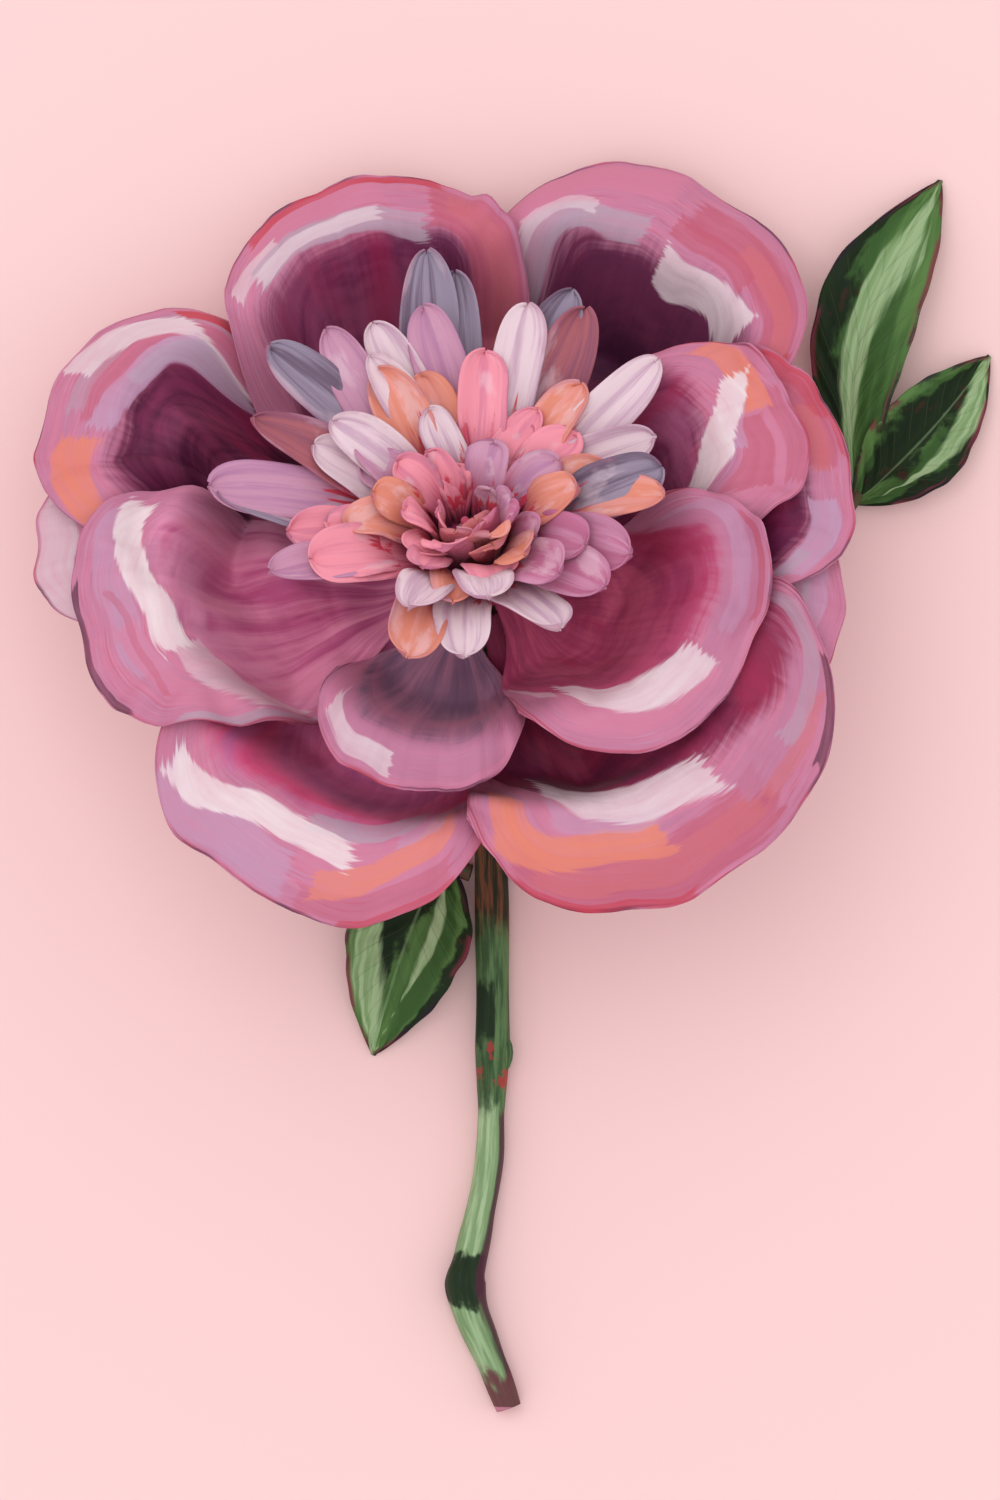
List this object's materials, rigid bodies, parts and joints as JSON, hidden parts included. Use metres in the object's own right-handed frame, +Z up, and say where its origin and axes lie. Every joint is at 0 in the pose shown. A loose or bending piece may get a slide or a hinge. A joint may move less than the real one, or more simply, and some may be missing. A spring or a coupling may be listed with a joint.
{
  "type": "peony",
  "caption": "Cut peony flower lying on a surface: an open bowl of broad petals round a tuft of narrow petal-like stamens, backed by sepals, on a bent leafy stem.",
  "frame": {"origin": "middle of the flower's footprint, at the height of the surface that it lies on", "axes": "+Z up from the surface, +Y from the stem's cut end towards the bloom, +X to the bloom's right as seen from above with the stem towards the viewer"},
  "size_m": [0.1718, 0.2246, 0.0681],
  "materials": {
    "guard_petal": "soft satin",
    "inner_petal": "soft satin",
    "staminode": "soft satin",
    "carpel": "matte",
    "sepal": "matte",
    "stem": "satin",
    "leaf": "satin"
  },
  "bodies": {
    "root": {"stem": "stem", "sepal_1": "sepal", "sepal_2": "sepal", "sepal_3": "sepal", "sepal_4": "sepal", "sepal_5": "sepal", "guard_petal_1": "guard_petal", "guard_petal_2": "guard_petal", "guard_petal_3": "guard_petal", "guard_petal_4": "guard_petal", "guard_petal_5": "guard_petal", "guard_petal_6": "guard_petal", "guard_petal_7": "guard_petal", "guard_petal_8": "guard_petal", "guard_petal_9": "guard_petal", "inner_petal_1": "inner_petal", "inner_petal_2": "inner_petal", "inner_petal_3": "inner_petal", "staminodes": "staminode", "carpels": "carpel", "leaf_right": "leaf", "leaf_left": "leaf"}
  },
  "joints": []
}
